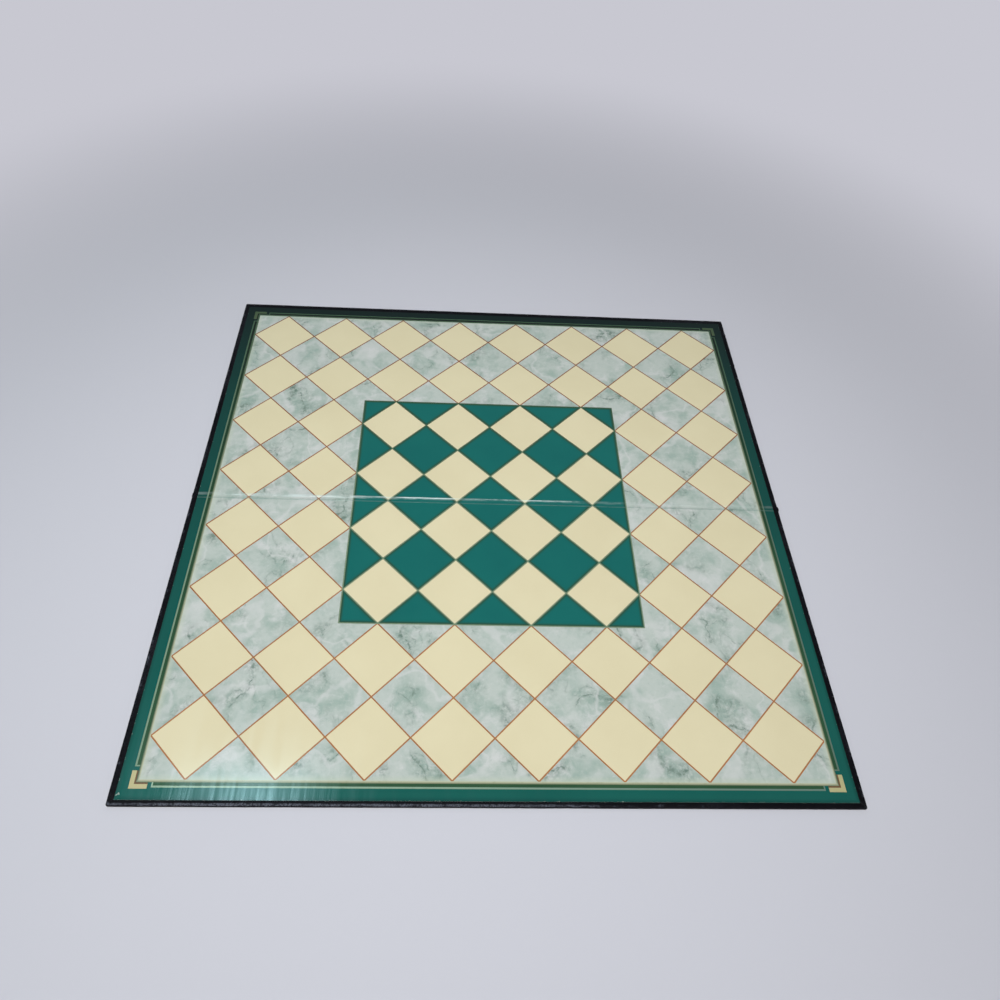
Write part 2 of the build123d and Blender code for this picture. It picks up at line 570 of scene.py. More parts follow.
@dataclass(frozen=True)
class Varnish:
    """The clear varnish over the print, with the wear that it takes and painted light and shade along its
    creases.

    Attributes:
        roughness: Roughness of clean varnish.
        roughness_spread: How much roughness varies over the sheet.
        shine: Strength of the reflection.
        streak_width: Width of the brushed streaks that run away from the player.
        streak_height: Height of those streaks.
        ripple_size: Size of the slow waves in the sheet.
        ripple_height: Height of the slow waves.
        peel_size: Size of the fine orange peel.
        peel_height: Height of the fine orange peel.
        crack_glint_colour: Colour along the far crease: paper where the ink has split, with a painted
            highlight on the crease's ridge.
        crease_shading_colour: Colour of the painted shading along the near creases, darker on the pale inks
            and lighter on the green.
        smear_sheen_colour: Colour of the pale band round the far crease, partly wear and partly painted
            sheen.
        haze: Size of the slow changes of roughness.
        wander: How far the creases wander from straight.
        grit: Size of the breaks in the crease marks.
        far_crease: Place in Y of the far crease.
        near_creases: Places in Y of the two near creases.
        crack_glint_stops: Strength of the white line and its painted highlight at places along the fold, in
            metres.
        smear_sheen_stops: Strength of the pale band and its painted sheen round it at such places.
    """

    roughness: float = 0.17
    roughness_spread: float = 0.07
    shine: float = 0.5
    streak_width: float = 5.5 * MM
    streak_height: float = 0.08 * MM
    ripple_size: float = 45 * MM
    ripple_height: float = 0.08 * MM
    peel_size: float = 1.6 * MM
    peel_height: float = 0.003 * MM
    crack_glint_colour: Colour = screen_colour(228, 246, 244)
    crease_shading_colour: Colour = screen_colour(100, 134, 124)
    smear_sheen_colour: Colour = screen_colour(210, 222, 219)
    haze: float = 70 * MM
    wander: float = 0.9 * MM
    grit: float = 1.5 * MM
    far_crease: float = 2.3 * MM
    near_creases: tuple[float, float] = (-1.1 * MM, -2.1 * MM)
    crack_glint_stops: Stops = (
        (-0.228, 0.22),
        (-0.180, 0.42),
        (-0.120, 0.36),
        (-0.095, 0.55),
        (-0.083, 0.75),
        (-0.078, 0.45),
        (-0.066, 0.95),
        (-0.034, 0.90),
        (-0.026, 0.50),
        (0.020, 0.55),
        (0.036, 0.80),
        (0.058, 0.62),
        (0.075, 0.22),
        (0.228, 0.10),
    )
    smear_sheen_stops: Stops = (
        (-0.228, 0.22),
        (-0.218, 0.14),
        (-0.208, 0.90),
        (-0.170, 1.00),
        (-0.110, 0.80),
        (-0.088, 0.34),
        (-0.060, 0.14),
        (0.020, 0.10),
        (0.060, 0.12),
        (0.120, 0.20),
        (0.228, 0.14),
    )

    def crease_wear_and_light(self, graph: PrintGraph, ink: Paint) -> Socket:
        """The ink with the marks of the creases: a white line along the far one, partly split ink and partly
        painted highlight, and painted shading along the near two.

        Args:
            graph: The print's node tree.
            ink: The printed colour.

        Returns:
            The marked colour.
        """
        place = graph.place
        wander = graph.noise(graph.mapped(place, scale=(22, 0, 0)), detail=5, roughness=0.6)
        across = graph.scaled(wander, -self.wander, graph.plus(graph.y, self.wander / 2))
        grit = graph.noise(graph.mapped(place, scale=(0.3, 2, 0)), self.grit, detail=4, roughness=0.7)
        # The two near creases get painted shading: darker on the pale inks, lighter on the green.
        near_far, near_near = self.near_creases
        marks = graph.most(
            graph.times(graph.band(across, near_far, 0.02 * MM, 0.35 * MM), 0.22),
            graph.times(graph.band(across, near_near, 0.05 * MM, 0.45 * MM), 0.55),
        )
        colour = graph.mix(graph.times(marks, graph.rise(grit, 0.20, 0.55)), ink, self.crease_shading_colour)

        # Round the far crease a pale band, partly wear and partly painted sheen.
        hairs = graph.noise(graph.mapped(place, scale=(45, 1700, 0)), detail=3, roughness=0.6)
        patches = graph.noise(graph.mapped(place, scale=(60, 160, 0)), detail=3, roughness=0.6)
        patchy = graph.scaled(graph.rise(patches, 0.40, 0.60), 0.85, 0.15)
        uneven = graph.times(graph.scaled(graph.rise(hairs, 0.40, 0.62), 0.75, 0.3), patchy)
        haze = graph.band(across, self.far_crease - 0.6 * MM, 0.5 * MM, 1.5 * MM)
        smear_and_sheen = graph.times(haze, graph.stepped(graph.x, self.smear_sheen_stops))
        colour = graph.mix(graph.times(smear_and_sheen, uneven), colour, self.smear_sheen_colour)

        # Along the far crease a white line: paper where the ink has split, with a painted highlight on the
        # crease's ridge.
        strength = graph.stepped(graph.x, self.crack_glint_stops)
        gaps = graph.rise(graph.minus(grit, graph.times(strength, 0.6)), 0.36, 0.0)
        core = graph.times(graph.band(across, self.far_crease, 0.20 * MM, 0.45 * MM), gaps)
        halo = graph.times(graph.band(across, self.far_crease - 0.2 * MM, 0.3 * MM, 1.3 * MM), 0.24)
        crack_and_glint = graph.most(core, graph.times(halo, patchy))
        return graph.mix(graph.times(crack_and_glint, strength), colour, self.crack_glint_colour)

    def dress(self, graph: PrintGraph, ink: Paint) -> None:
        """Lay the varnish over an ink: colour, roughness and relief.

        Args:
            graph: The print's node tree.
            ink: The printed colour.
        """
        place = graph.place
        haze = graph.noise(place, self.haze, detail=5, roughness=0.6)
        brushed = graph.mapped(place, scale=(1 / self.streak_width, 1 / (14 * self.streak_width), 0), turn=4)
        smears = graph.noise(brushed, detail=4, roughness=0.6)
        unevenness = graph.plus(graph.rise(smears, 0.36, 0.64), haze)
        spread = 1.5 * self.roughness_spread
        roughness = graph.scaled(unevenness, spread, self.roughness - spread)
        graph.paint(self.crease_wear_and_light(graph, ink), roughness, self.shine)
        ripple = graph.noise(place, self.ripple_size, detail=1)
        peel = graph.noise(place, self.peel_size, detail=2)
        relief = graph.scaled(peel, self.peel_height / self.ripple_height, ripple)
        relief = graph.scaled(smears, self.streak_height / self.ripple_height, relief)
        graph.bump(relief, self.ripple_height)


@dataclass(frozen=True)
class FlatInk:
    """One even ink, with the slight unevenness of a printed area.

    Attributes:
        name: Name of the finish.
        slot: Material slot of the record; not used.
        colour: Colour of the ink.
        shade: Colour towards which the ink drifts.
        drift: How far it drifts, from 0 to 1.
        far: Colour at the far side, towards which the ink darkens.
        corner: Colour in the corners of the print, where it differs.
        beside: Colour close beside the lines of the green centre, where it differs.
        chipped: Colour of the bare paper where the ink has come off.
        nicks: Small nicks, each with X, Y, turn in degrees and half its length.
        nick_half_width: Half the width of a nick.
        cloud: Size of the slow changes of colour.
        grain: Size of the fine ones.
        fringe: How far the colour beside the centre's lines reaches.
        corner_reach: How far in from the field's edge the corners count as such.
        edge_width: Width of the darker band along the sheet's edge.
        rim_width: Width of the worn rim at the sheet's edge.
        rim_full: Width of the outermost part of that rim, which is fully worn.
        fleck: Size of the worn flecks.
    """

    name: str
    slot: str
    colour: Colour
    shade: Colour
    drift: float = 0.6
    far: Optional[Colour] = None
    corner: Optional[Colour] = None
    beside: Optional[Colour] = None
    chipped: Colour = screen_colour(178, 196, 184)
    nicks: tuple[tuple[float, float, float, float], ...] = ()
    nick_half_width: float = 0.28 * MM
    cloud: float = 60 * MM
    grain: float = 0.7 * MM
    fringe: float = 2.2 * MM
    corner_reach: float = 8 * MM
    edge_width: float = 3 * MM
    rim_width: float = 0.7 * MM
    rim_full: float = 0.1 * MM
    fleck: float = 2.2 * MM

    def ink(self, graph: PrintGraph) -> Socket:
        """The ink's colour at a place.

        Args:
            graph: The print's node tree.

        Returns:
            The colour.
        """
        place, layout = graph.place, graph.layout
        cloud = graph.noise(place, self.cloud, detail=4, roughness=0.55)
        grain = graph.noise(place, self.grain, detail=2, roughness=0.7)
        blend = graph.scaled(grain, 0.25, graph.times(cloud, 0.75))
        amount = graph.times(graph.rise(blend, 0.32, 0.68), self.drift)
        even = graph.mix(amount, self.colour, self.shade)
        if self.beside is not None:
            from_frame = graph.minus(layout.centre_half, graph.from_middle())
            away = graph.least(from_frame, graph.times(graph.from_outline(), -1.0))
            fading = graph.rise(away, layout.centre_line_half + self.fringe, layout.centre_line_half)
            even = graph.mix(graph.times(fading, 0.95), even, self.beside)
        if self.far is None:
            return even
        if self.corner is not None:
            nearer = graph.least(graph.size(graph.x), graph.size(graph.y))
            corner_start = layout.field_half - self.corner_reach
            at_corner = graph.rise(nearer, corner_start, corner_start + 1 * MM)
            even = graph.mix(at_corner, even, self.corner)
        out = graph.from_middle()
        # Darker towards the far side of the sheet, and in a band along its edge.
        edge = graph.times(graph.rise(out, layout.sheet_half - self.edge_width, layout.sheet_half), 0.35)
        colour = graph.mix(graph.most(edge, graph.towards_far()), even, self.far)
        rim = graph.rise(out, layout.sheet_half - self.rim_width, layout.sheet_half - self.rim_full)
        flecks = graph.rise(graph.noise(place, self.fleck, detail=4, roughness=0.75), 0.60, 0.68)
        worn = graph.times(graph.times(rim, flecks), 0.6)
        for x, y, turn, half_length in self.nicks:
            mark = graph.stroke(place, (x, y), turn, half_length, self.nick_half_width)
            worn = graph.most(worn, graph.times(mark, 0.7))
        return graph.mix(worn, colour, self.chipped)


@dataclass(frozen=True)
class OutlineInk:
    """The two-toned lines of the green centre: sage beside the pale side, dark beside the green.

    Attributes:
        name: Name of the finish.
        slot: Material slot of the record; not used.
        sage: Colour beside a cream square, and outside the centre's frame.
        dark: Colour beside the green.
        far_dark: Colour of the sage tone at the far side of the centre.
        speck: Size of the dark specks in the sage tone.
    """

    name: str
    slot: str
    sage: Colour
    dark: Colour
    far_dark: Colour
    speck: float = 1.1 * MM

    def ink(self, graph: PrintGraph) -> Socket:
        """The line's colour at a place.

        Args:
            graph: The print's node tree.

        Returns:
            The colour.
        """
        place, layout = graph.place, graph.layout
        width = layout.centre_line_half
        inside = graph.rise(graph.from_outline(), -1.1 * width, -0.3 * width)
        out = graph.minus(graph.from_middle(), layout.centre_half)
        outside = graph.rise(out, -1.0 * width, -0.2 * width)
        farther = graph.rise(graph.y, -0.2 * layout.centre_half, layout.centre_half)
        light = graph.mix(graph.times(farther, 0.8), self.sage, self.far_dark)
        specks = graph.rise(graph.noise(place, self.speck, detail=3, roughness=0.7), 0.30, 0.70)
        light = graph.mix(graph.times(specks, 0.35), light, self.dark)
        return graph.mix(graph.most(inside, outside), self.dark, light)


@dataclass(frozen=True)
class LineInk:
    """The pale lines of the border: a soft band along the field and a thin line further out.

    Attributes:
        name: Name of the finish.
        slot: Material slot of the record; not used.
        inner: Colour of the band where it meets the field.
        outer: Colour of the band where it meets the dark channel.
        side: Colour of the band there on the left and right, where it is darker.
        thin: Colour of the thin line at the near left.
        thin_right: Colour of the thin line at the near right.
        far: Colour of both at the far side.
        thin_fades: X between which the thin line goes from its left to its right colour.
        worn: Size of the worn patches.
    """

    name: str
    slot: str
    inner: Colour
    outer: Colour
    side: Colour
    thin: Colour
    thin_right: Colour
    far: Colour
    thin_fades: tuple[float, float] = (-160 * MM, 200 * MM)
    worn: float = 5 * MM

    def ink(self, graph: PrintGraph) -> Socket:
        """The line's colour at a place.

        Args:
            graph: The print's node tree.

        Returns:
            The colour.
        """
        place, layout = graph.place, graph.layout
        out = graph.from_middle()
        edge = layout.field_half
        sideways = graph.minus(graph.size(graph.x), graph.size(graph.y))
        at_side = graph.rise(sideways, -1 * MM, 1 * MM)
        outer = graph.mix(at_side, self.outer, self.side)
        band = graph.mix(graph.rise(out, edge + 0.1 * MM, edge + layout.pale_outer), self.inner, outer)
        beyond = graph.rise(out, edge + layout.pale_outer, edge + layout.pale_outer + 0.1 * MM)
        thin = graph.mix(graph.rise(graph.x, *self.thin_fades), self.thin, self.thin_right)
        thin = graph.mix(graph.times(at_side, 0.35), thin, self.far)
        colour = graph.mix(beyond, band, thin)
        worn = graph.rise(graph.noise(place, self.worn, detail=4, roughness=0.7), 0.50, 0.75)
        colour = graph.mix(graph.times(worn, 0.35), colour, self.outer)
        return graph.mix(graph.towards_far(), colour, self.far)


@dataclass(frozen=True)
class MarbleInk:
    """Printed marble: soft clouds, a fine mottle, pale wisps and broken smoky veins.

    Attributes:
        name: Name of the finish.
        slot: Material slot of the record; not used.
        ground: Middle colour.
        cloud: Darker, greener cloud colour.
        pale: Pale wisp colour.
        vein: Vein colour.
        rim: Colour of the marble along the edge of the field.
        feature: Size of a cloud.
        mottle: Size of the fine mottle.
        grit: Size of the breaks in the veins.
        swelling: Distance along a vein over which it swells and thins.
        rim_width: Width of the paler rim.
    """

    name: str
    slot: str
    ground: Colour
    cloud: Colour
    pale: Colour
    vein: Colour
    rim: Colour
    feature: float = 27 * MM
    mottle: float = 3.2 * MM
    grit: float = 3.5 * MM
    swelling: float = 9 * MM
    rim_width: float = 4 * MM

    def vein_system(
        self, graph: PrintGraph, place: Socket, spread: float, turn: float, width: float
    ) -> tuple[Socket, Socket]:
        """One family of veins, along which bent, stretched noise crosses its middle value.

        Args:
            graph: The print's node tree.
            place: Place at which the veins are read.
            spread: Distance between neighbouring veins.
            turn: Turn of the stretched noise, in degrees.
            width: How far from its middle value the noise still counts as vein.

        Returns:
            The vein itself and the smoke round it, each from 0 to 1.
        """
        coarse = graph.bent(place, self.feature * 0.7, self.feature * 0.42)
        bent = graph.bent(coarse, self.feature * 0.16, self.feature * 0.075)
        waves = graph.noise(graph.mapped(bent, scale=(1.0, 0.7, 0), turn=turn), spread, detail=1)
        away = graph.size(graph.minus(waves, 0.5))
        thickness = graph.noise(graph.mapped(place, shift=(0.2, turn / 50, 0)), self.swelling, detail=2)
        reach = graph.scaled(thickness, 2 * width, width * 0.15)
        line = graph.rest(graph.rise(graph.maths("DIVIDE", away, reach), 0.1, 1.0))
        return line, graph.rest(graph.rise(away, 0.0, width * 5))

    def ink(self, graph: PrintGraph) -> Socket:
        """The marble's colour at a place.

        Args:
            graph: The print's node tree.

        Returns:
            The colour.
        """
        place, layout = graph.place, graph.layout
        bent = graph.bent(place, self.feature * 0.5, self.feature * 0.2)
        clouds = graph.noise(bent, self.feature / 1.1, detail=7, roughness=0.62)
        colour = graph.mix(graph.rise(clouds, 0.42, 0.68), self.ground, self.cloud)
        aside = graph.mapped(bent, shift=(0.4, 0.7, 0))
        wisps = graph.noise(aside, self.feature / 1.3, detail=7, roughness=0.66)
        colour = graph.mix(graph.times(graph.rise(wisps, 0.50, 0.70), 0.8), colour, self.pale)

        mottled = graph.bent(place, 4 * MM, 1.2 * MM)
        mottle = graph.noise(mottled, self.mottle, detail=5, roughness=0.72)
        colour = graph.mix(graph.times(graph.rise(mottle, 0.52, 0.78), 0.55), colour, self.cloud)
        colour = graph.mix(graph.times(graph.rise(mottle, 0.48, 0.26), 0.40), colour, self.pale)

        wide = graph.noise(graph.mapped(place, shift=(0.5, 0.9, 0)), self.feature / 0.75, detail=2)
        patches = graph.rise(wide, 0.45, 0.60)
        broken = graph.rise(graph.noise(place, self.grit, detail=4, roughness=0.7), 0.34, 0.60)
        main_line, main_smoke = self.vein_system(graph, place, 1.5 * self.feature, 35, 0.020)
        fine_line, fine_smoke = self.vein_system(graph, place, 0.8 * self.feature, -50, 0.013)
        lines = graph.most(main_line, graph.times(fine_line, 0.6))
        smoke = graph.most(main_smoke, graph.times(fine_smoke, 0.6))
        vein = graph.times(graph.times(lines, broken), 0.8)
        haze = graph.times(graph.times(smoke, graph.rise(mottle, 0.36, 0.62)), 0.42)
        colour = graph.mix(graph.times(graph.most(vein, haze), patches), colour, self.vein)

        elsewhere = graph.mapped(place, shift=(0.9, 0.3, 0))
        streak, _ = self.vein_system(graph, elsewhere, 1.9 * self.feature, -28, 0.022)
        colour = graph.mix(graph.times(streak, 0.45), colour, self.pale)

        rim = graph.rise(graph.from_middle(), layout.field_half - self.rim_width, layout.field_half)
        return graph.mix(graph.times(rim, 0.55), colour, self.rim)


Ink = Union[FlatInk, OutlineInk, LineInk, MarbleInk]


@dataclass(frozen=True)
class Leatherette:
    """Black cover paper with an embossed leather grain, worn grey along its edges, and a painted reflection
    of the lamp along the near left edge.

    Attributes:
        name: Name of the finish.
        slot: Material slot of the record; not used.
        colour: Colour of the paper.
        shade: Colour of the painted shade in the hollows of the grain.
        rub_and_sheen_colour: Colour of the worn edges, and of the painted reflection along the near left
            edge.
        scuffed: Colour of handling marks and scratches.
        shine: Strength of the reflection.
        pebble: Size of a pebble of the grain.
        fine: Size of the fine grain on it.
        depth: Depth of the grain.
        handled: Size of the handling marks.
        patch: Size of the patches in which edges are worn.
        wear_sheen_name: Name of the wear and painted sheen kept on the mesh.
    """

    name: str = "black_leatherette"
    slot: str = "black_cover"
    colour: Colour = screen_colour(12, 12, 18)
    shade: Colour = screen_colour(3, 3, 6)
    rub_and_sheen_colour: Colour = screen_colour(88, 92, 102)
    scuffed: Colour = screen_colour(52, 52, 60)
    shine: float = 0.10
    pebble: float = 0.9 * MM
    fine: float = 0.35 * MM
    depth: float = 0.07 * MM
    handled: float = 55 * MM
    patch: float = 6 * MM
    wear_sheen_name: str = "edge_wear_and_sheen"

    def material(self) -> bpy.types.Material:
        """Build the material.

        Returns:
            The material, which reads the wear and painted sheen kept on the mesh.
        """
        graph = MaterialGraph(self.name)
        place = graph.solid_place()
        pebbles = graph.cells(graph.mapped(place, turn=17), self.pebble, 0.35)
        grain = graph.scaled(graph.noise(place, self.fine, detail=2), 0.25, pebbles)
        hollows = graph.rise(grain, 0.45, 0.95)
        tops = graph.rest(graph.times(hollows, 0.8))
        # The hollows of the grain get painted shade.
        colour = graph.mix(hollows, self.colour, self.shade)

        handled = graph.noise(place, self.handled, detail=5, roughness=0.6)
        scratches = graph.noise(graph.mapped(place, scale=(9, 700, 700), turn=28), detail=3, roughness=0.7)
        crossing = graph.noise(graph.mapped(place, scale=(600, 11, 600), turn=-9), detail=3, roughness=0.7)
        lines = graph.most(graph.rise(scratches, 0.66, 0.78), graph.rise(crossing, 0.68, 0.80))
        scuffs = graph.most(graph.times(graph.rise(handled, 0.48, 0.70), 0.35), graph.times(lines, 0.6))
        colour = graph.mix(graph.times(scuffs, tops), colour, self.scuffed)

        # Grey where the edges are worn; along the near left edge it is also a painted reflection of the lamp.
        wear = graph.attribute(self.wear_sheen_name)
        patchy = graph.scaled(graph.noise(place, self.patch, detail=5, roughness=0.7), 2.0, -1.0)
        rub_and_sheen = graph.rise(graph.plus(wear, patchy), 0.30, 1.0)
        colour = graph.mix(graph.times(rub_and_sheen, tops), colour, self.rub_and_sheen_colour)
        roughness = graph.scaled(handled, 0.22, graph.scaled(hollows, 0.18, 0.32))
        graph.paint(colour, roughness, self.shine)
        graph.bump(graph.rest(grain), self.depth)
        return graph.material


@dataclass(frozen=True)
class RawPaper:
    """Unprinted paper or board, with short fibres.

    Attributes:
        name: Name of the finish.
        slot: Material slot of the record; not used.
        colour: Colour of the paper.
        fleck: Colour of its fibres.
        fibre: Length of a fibre.
        relief: Height of the fibres.
    """

    name: str
    slot: str
    colour: Colour
    fleck: Colour
    fibre: float = 1.2 * MM
    relief: float = 0.05 * MM

    def material(self) -> bpy.types.Material:
        """Build the material.

        Returns:
            The material.
        """
        graph = MaterialGraph(self.name)
        lying = graph.mapped(graph.solid_place(), scale=(1, 3, 3), turn=30)
        fibres = graph.noise(lying, self.fibre, detail=4, roughness=0.7)
        graph.paint(graph.mix(graph.rise(fibres, 0.45, 0.75), self.colour, self.fleck), 0.9)
        graph.bump(fibres, self.relief)
        return graph.material


CREAM = FlatInk(
    name="cream_ink",
    slot="cream_print",
    colour=screen_colour(226, 216, 180),
    shade=screen_colour(219, 208, 171),
)
CENTRE_GREEN = FlatInk(
    name="centre_green_ink",
    slot="centre_green_print",
    colour=screen_colour(15, 105, 99),
    shade=screen_colour(9, 97, 93),
    drift=0.8,
    beside=screen_colour(40, 76, 56),
)
BORDER_GREEN = FlatInk(
    name="border_green_ink",
    slot="border_green_print",
    colour=screen_colour(17, 93, 84),
    shade=screen_colour(13, 85, 77),
    far=screen_colour(3, 28, 26),
    nicks=(
        (-0.2262, -0.2251, 35, 1.3 * MM),
        (-0.2254, -0.2247, -58, 0.9 * MM),
    ),
)
SQUARE_LINE = FlatInk(
    name="red_brown_ink",
    slot="red_brown_print",
    colour=screen_colour(181, 121, 74),
    shade=screen_colour(158, 105, 66),
    drift=0.8,
    far=screen_colour(126, 73, 55),
)
CENTRE_LINE = OutlineInk(
    name="sage_ink",
    slot="olive_print",
    sage=screen_colour(131, 149, 121),
    dark=screen_colour(22, 76, 60),
    far_dark=screen_colour(62, 86, 62),
)
PALE_LINE = LineInk(
    name="pale_line_ink",
    slot="pale_line_print",
    inner=screen_colour(190, 192, 164),
    outer=screen_colour(126, 134, 104),
    side=screen_colour(80, 98, 72),
    thin=screen_colour(150, 178, 152),
    thin_right=screen_colour(102, 128, 116),
    far=screen_colour(60, 88, 66),
)
DARK_LINE = FlatInk(
    name="dark_line_ink",
    slot="dark_line_print",
    colour=screen_colour(52, 88, 60),
    shade=screen_colour(38, 72, 48),
    drift=0.8,
    far=screen_colour(10, 28, 21),
    corner=screen_colour(112, 84, 58),
)
GOLD = FlatInk(
    name="gold_ink",
    slot="gold_print",
    colour=screen_colour(194, 186, 140),
    shade=screen_colour(176, 172, 126),
    drift=0.8,
    far=screen_colour(60, 84, 60),
)
MARBLE = MarbleInk(
    name="marble_ink",
    slot="marble_print",
    ground=screen_colour(189, 198, 191),
    cloud=screen_colour(158, 177, 167),
    pale=screen_colour(212, 213, 211),
    vein=screen_colour(86, 112, 99),
    rim=screen_colour(192, 202, 184),
)
GREY_BOARD = RawPaper("grey_board", "greyboard", screen_colour(150, 146, 138), screen_colour(118, 114, 106))
WHITE_PAPER = RawPaper(
    "sheet_paper", "white_paper", screen_colour(228, 226, 216), screen_colour(206, 202, 190)
)


PRINT_AREAS: dict[str, Ink] = {
    "cream_squares": CREAM,
    "marble_ground": MARBLE,
    "green_centre": CENTRE_GREEN,
    "green_border": BORDER_GREEN,
    "square_outlines": SQUARE_LINE,
    "centre_outlines": CENTRE_LINE,
    "pale_border_lines": PALE_LINE,
    "dark_border_lines": DARK_LINE,
    "gold_corners": GOLD,
}


@dataclass
class PrintedSheet:
    """The printed sheet: its flat areas on the two boards and the strip across the fold.

    Attributes:
        layout: The board's layout.
        varnish: The varnish over all the inks.
        ridge: Height of the ridge along each crease.
        ridge_width: Width of that ridge.
        dip: How far the strip sinks between the creases.
        soft: Softness of the printed edges on the strip.
        across: Points across the strip.
        along: Points along the strip.
    """

    layout: Layout
    varnish: Varnish = Varnish()
    ridge: float = 0.12 * MM
    ridge_width: float = 0.3 * MM
    dip: float = 0.05 * MM
    soft: float = 0.06 * MM
    across: int = 33
    along: int = 241

    def dress_areas(self) -> None:
        """Give each packed print area its varnished ink."""
        for node_name, ink in PRINT_AREAS.items():
            graph = PrintGraph(ink.name, Place.OBJECT, self.layout)
            self.varnish.dress(graph, ink.ink(graph))
            dress_both(node_name, graph.material)

    def whole_design(self, graph: PrintGraph) -> Socket:
        """The whole print as one colour signal, for the strip across the fold.

        Args:
            graph: The print's node tree.

        Returns:
            The colour.
        """
        layout, soft = self.layout, self.soft
        from_line = graph.from_outline()
        out = graph.size(graph.x)
        in_centre = graph.rest(graph.rise(out, layout.centre_half, layout.centre_half + soft))
        centre_ink = CENTRE_LINE.ink(graph)

        ground = graph.mix(in_centre, MARBLE.ink(graph), CENTRE_GREEN.ink(graph))
        squares = graph.mix(graph.rise(from_line, 0.0, soft), ground, CREAM.ink(graph))
        square_line = graph.band(from_line, 0.0, layout.line_half - soft, soft)
        centre_line = graph.band(from_line, 0.0, layout.centre_line_half - soft, soft)
        outer_lines = graph.mix(square_line, squares, SQUARE_LINE.ink(graph))
        inner_lines = graph.mix(centre_line, squares, centre_ink)
        frame_line = graph.band(out, layout.centre_half, layout.centre_line_half, soft)
        colour = graph.mix(frame_line, graph.mix(in_centre, outer_lines, inner_lines), centre_ink)

        for edge, ink in (
            (0.0, PALE_LINE),
            (layout.pale_outer, DARK_LINE),
            (layout.dark_outer, PALE_LINE),
            (layout.thin_outer, BORDER_GREEN),
        ):
            beyond = graph.rise(out, layout.field_half + edge, layout.field_half + edge + soft)
            colour = graph.mix(beyond, colour, ink.ink(graph))
        return colour

    def fold_points(self) -> tuple[np.ndarray, np.ndarray]:
        """Points of the strip across the fold, and their places on the sheet.

        The upper side is flat, plus a bell-shaped ridge along each crease, less a shallow
        hollow between them, each wavering slowly along the fold. The underside is flat.

        Returns:
            Points as an array of stations by ring points by 3, and places as stations by
            ring points by 2.
        """
        layout = self.layout
        x = np.linspace(-layout.sheet_half, layout.sheet_half, self.along)
        y = np.linspace(-layout.gap_half, layout.gap_half, self.across)
        station, across = np.meshgrid(x, y, indexing="ij")
        waver = 1 + 0.3 * np.sin(station * 41) + 0.2 * np.sin(station * 97 + 1.3)
        crease = layout.gap_half - self.ridge_width
        bells = sum(np.exp(-(((across - side * crease) / self.ridge_width) ** 2)) for side in (1, -1))
        hollow = np.clip(1 - (across / crease) ** 2, 0, 1)
        height = layout.sheet_top + waver * (self.ridge * bells - self.dip * hollow)
        upper = np.stack([station, across, height], axis=-1)
        lower = np.stack([station, across, np.full_like(station, layout.cover_top)], axis=-1)
        ring = np.concatenate([upper, lower[:, ::-1]], axis=1)
        return ring, ring[..., :2]

    def build_fold(self) -> bpy.types.Object:
        """Build the strip across the fold.

        Returns:
            The strip.
        """
        layout = self.layout
        ring, places = self.fold_points()
        strip = closed_skin("sheet_fold", ring, 40)
        add_map(strip, Place.SHEET_MAP.value, places.reshape(-1, 2))
        share_x = (places[..., 0] + layout.sheet_half) / (2 * layout.sheet_half)
        around = np.linspace(0, 1, ring.shape[1])[None, :].repeat(ring.shape[0], axis=0)
        add_map(strip, "OFBake", np.stack([share_x, around], axis=-1).reshape(-1, 2))
        graph = PrintGraph("fold_print", Place.SHEET_MAP, layout)
        self.varnish.dress(graph, self.whole_design(graph))
        dress(strip, graph.material)
        bend_over_fold(strip)
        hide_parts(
            *[f"{half.prefix}_{name}" for half in Half for name in ("fold_marble", "fold_green")]
        )
        LOG.info("sheet_fold: %d points", ring.shape[0] * ring.shape[1])
        return strip


